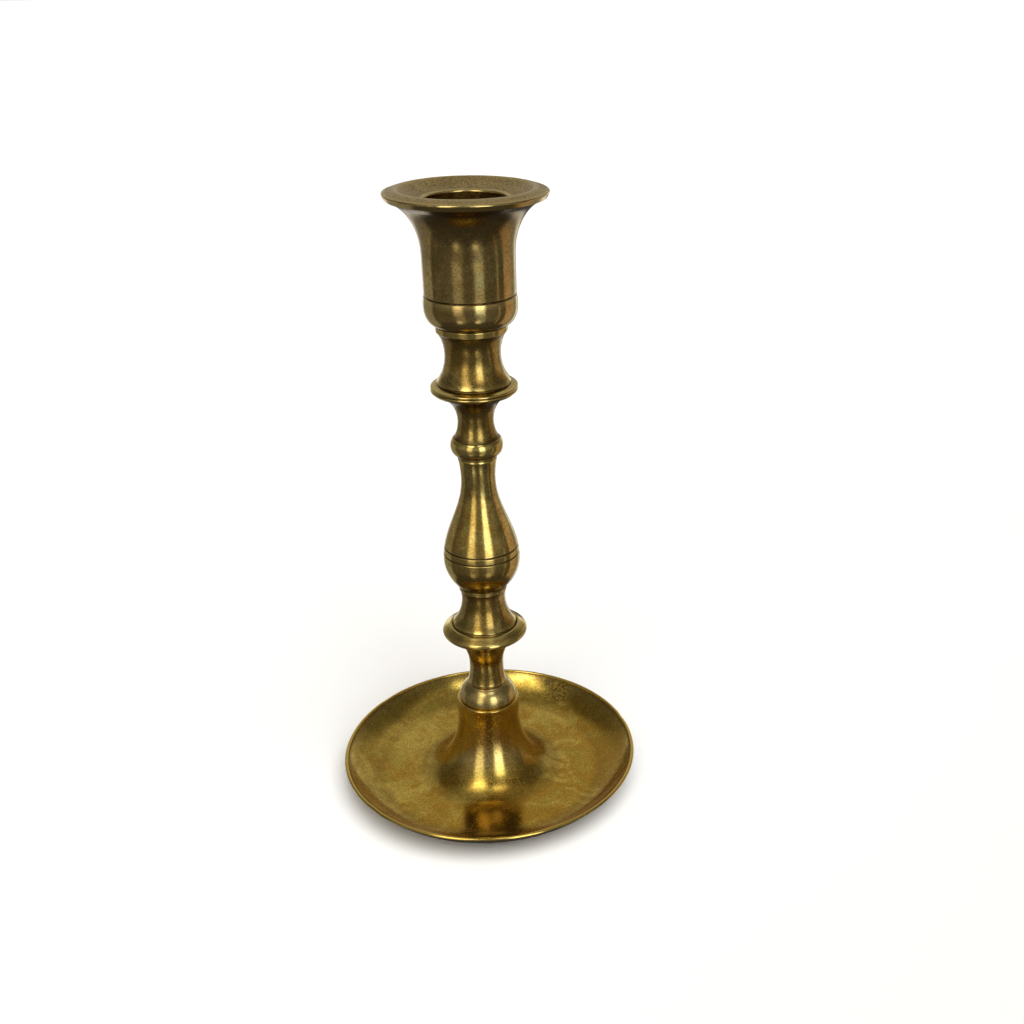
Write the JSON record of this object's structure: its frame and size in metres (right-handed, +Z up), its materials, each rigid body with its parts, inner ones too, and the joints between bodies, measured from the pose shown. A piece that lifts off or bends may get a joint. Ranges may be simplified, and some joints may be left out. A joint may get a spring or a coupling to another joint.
{
  "type": "altar candlestick",
  "caption": "Turned brass candlestick with a baluster stem, a wide-rimmed candle cup and a saucer foot that catches wax, drawn together by a hidden threaded rod.",
  "frame": {"origin": "middle of the ring that the foot stands on, at floor height", "axes": "+Z up along the stem, towards the candle; X and Y are level"},
  "size_m": [0.0906, 0.0906, 0.1788],
  "materials": {
    "foot_brass": "worn polish with a warm patina and fine scratches",
    "collar_brass": "duller, paler polish with fine turning marks",
    "stem_brass": "aged polish, darker in the grooves and under the knops",
    "cup_brass": "aged polish, tarnished inside the socket",
    "rod_steel": "dull threaded steel",
    "fixing_brass": "unpolished, turned",
    "fixing_steel": "dull, lightly rusted"
  },
  "bodies": {
    "root": {"saucer_base": "foot_brass", "domed_collar": "collar_brass", "lower_knop": "stem_brass", "baluster": "stem_brass", "upper_knop": "stem_brass", "neck": "stem_brass", "candle_cup": "cup_brass", "tie_rod": "rod_steel", "cup_washer": "fixing_brass", "cup_nut": "fixing_brass", "base_washer": "fixing_steel", "lock_washer": "fixing_steel", "base_nut": "fixing_steel"}
  },
  "joints": []
}
